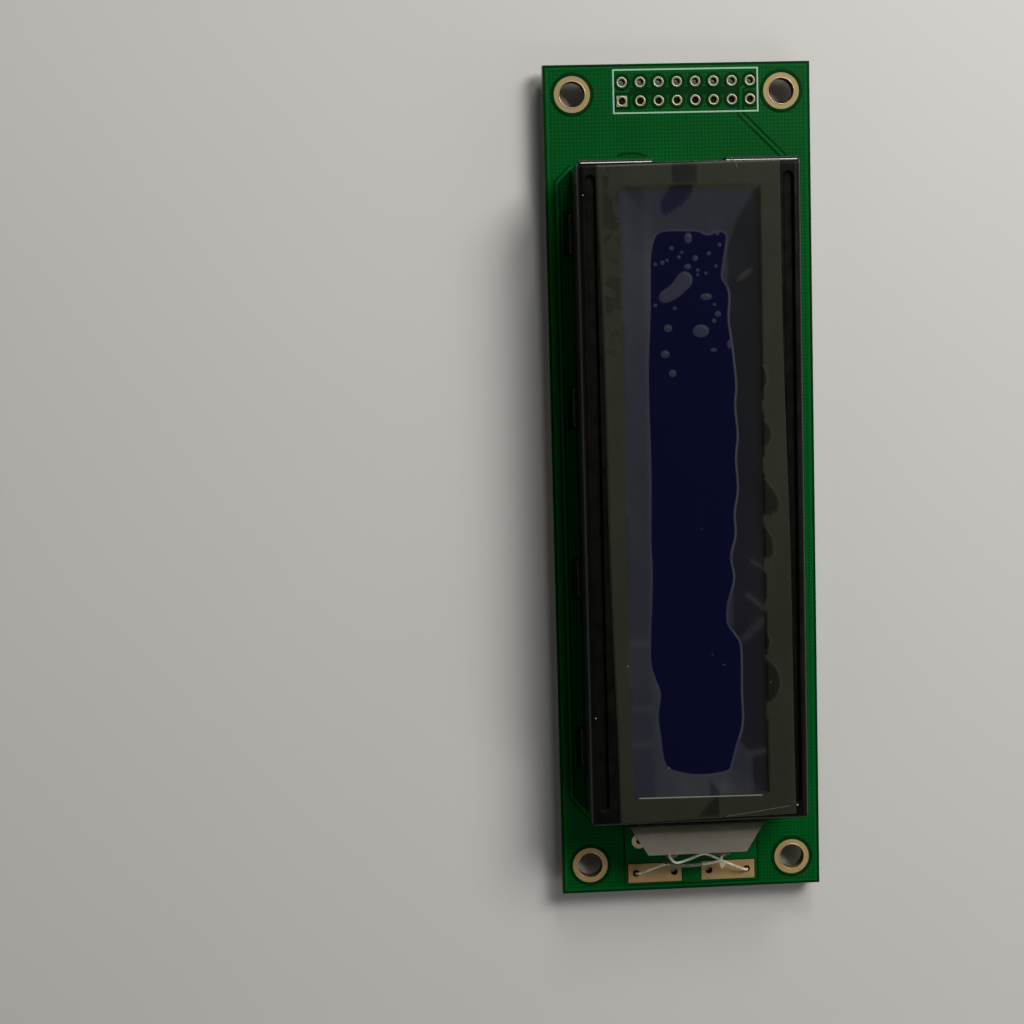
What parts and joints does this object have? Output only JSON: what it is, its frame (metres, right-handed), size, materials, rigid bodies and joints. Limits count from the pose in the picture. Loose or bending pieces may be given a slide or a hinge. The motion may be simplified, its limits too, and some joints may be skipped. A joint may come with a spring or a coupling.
{
  "type": "character lcd module",
  "caption": "Character display on a long printed board: black folded bezel over the glass, edge-lit backlight with two wires, connector holes at one end, chips under resin on the back.",
  "frame": {"origin": "centre of the four mounting holes, on the board's front face", "axes": "+X along the board from the connector end to the backlight end, +Y across the board, +Z out of the display"},
  "size_m": [0.116, 0.037, 0.0127],
  "materials": {
    "board": "green solder mask over copper, glossy",
    "bezel": "black coated steel, semi-gloss",
    "cover_film": "thin clear film, hazy",
    "polariser": "dark blue film, glossy",
    "glass": "polished",
    "contact_rubber": "soft, matte",
    "light_guide": "milky clear acrylic",
    "white_film": "matte white",
    "tape": "satin",
    "lamp": "matte",
    "lead": "thin glossy insulation",
    "solder": "bright, as it froze",
    "resin": "black cast resin, satin",
    "silicon": "polished",
    "resistor_body": "black glaze with tinned ends",
    "capacitor_body": "fired, matte, with tinned ends",
    "label": "satin white"
  },
  "bodies": {
    "root": {"circuit_board": "board", "bezel": "bezel", "protective_film": "cover_film", "front_polariser": "polariser", "upper_glass": "glass", "lower_glass": "glass", "rear_polariser": "polariser", "contact_strip_left": "contact_rubber", "contact_strip_right": "contact_rubber", "diffuser_film": "white_film", "light_guide": "light_guide", "reflector_film": "white_film", "tab_tape": "tape", "backlight_lamp": "lamp", "lamp_lead_a": "lead", "lamp_lead_b": "lead", "lamp_solder_a": "solder", "lamp_solder_b": "solder", "driver_chip": "silicon", "driver_cap": "resin", "controller_chip": "silicon", "controller_cap": "resin", "resistor_1": "resistor_body", "resistor_2": "resistor_body", "resistor_3": "resistor_body", "resistor_4": "resistor_body", "resistor_5": "resistor_body", "resistor_6": "resistor_body", "resistor_f": "resistor_body", "resistor_7": "resistor_body", "capacitor_1": "capacitor_body", "chip_solder": "solder", "solder_bridge_1": "solder", "solder_bridge_3": "solder", "solder_bridge_7": "solder", "label": "label"}
  },
  "joints": []
}
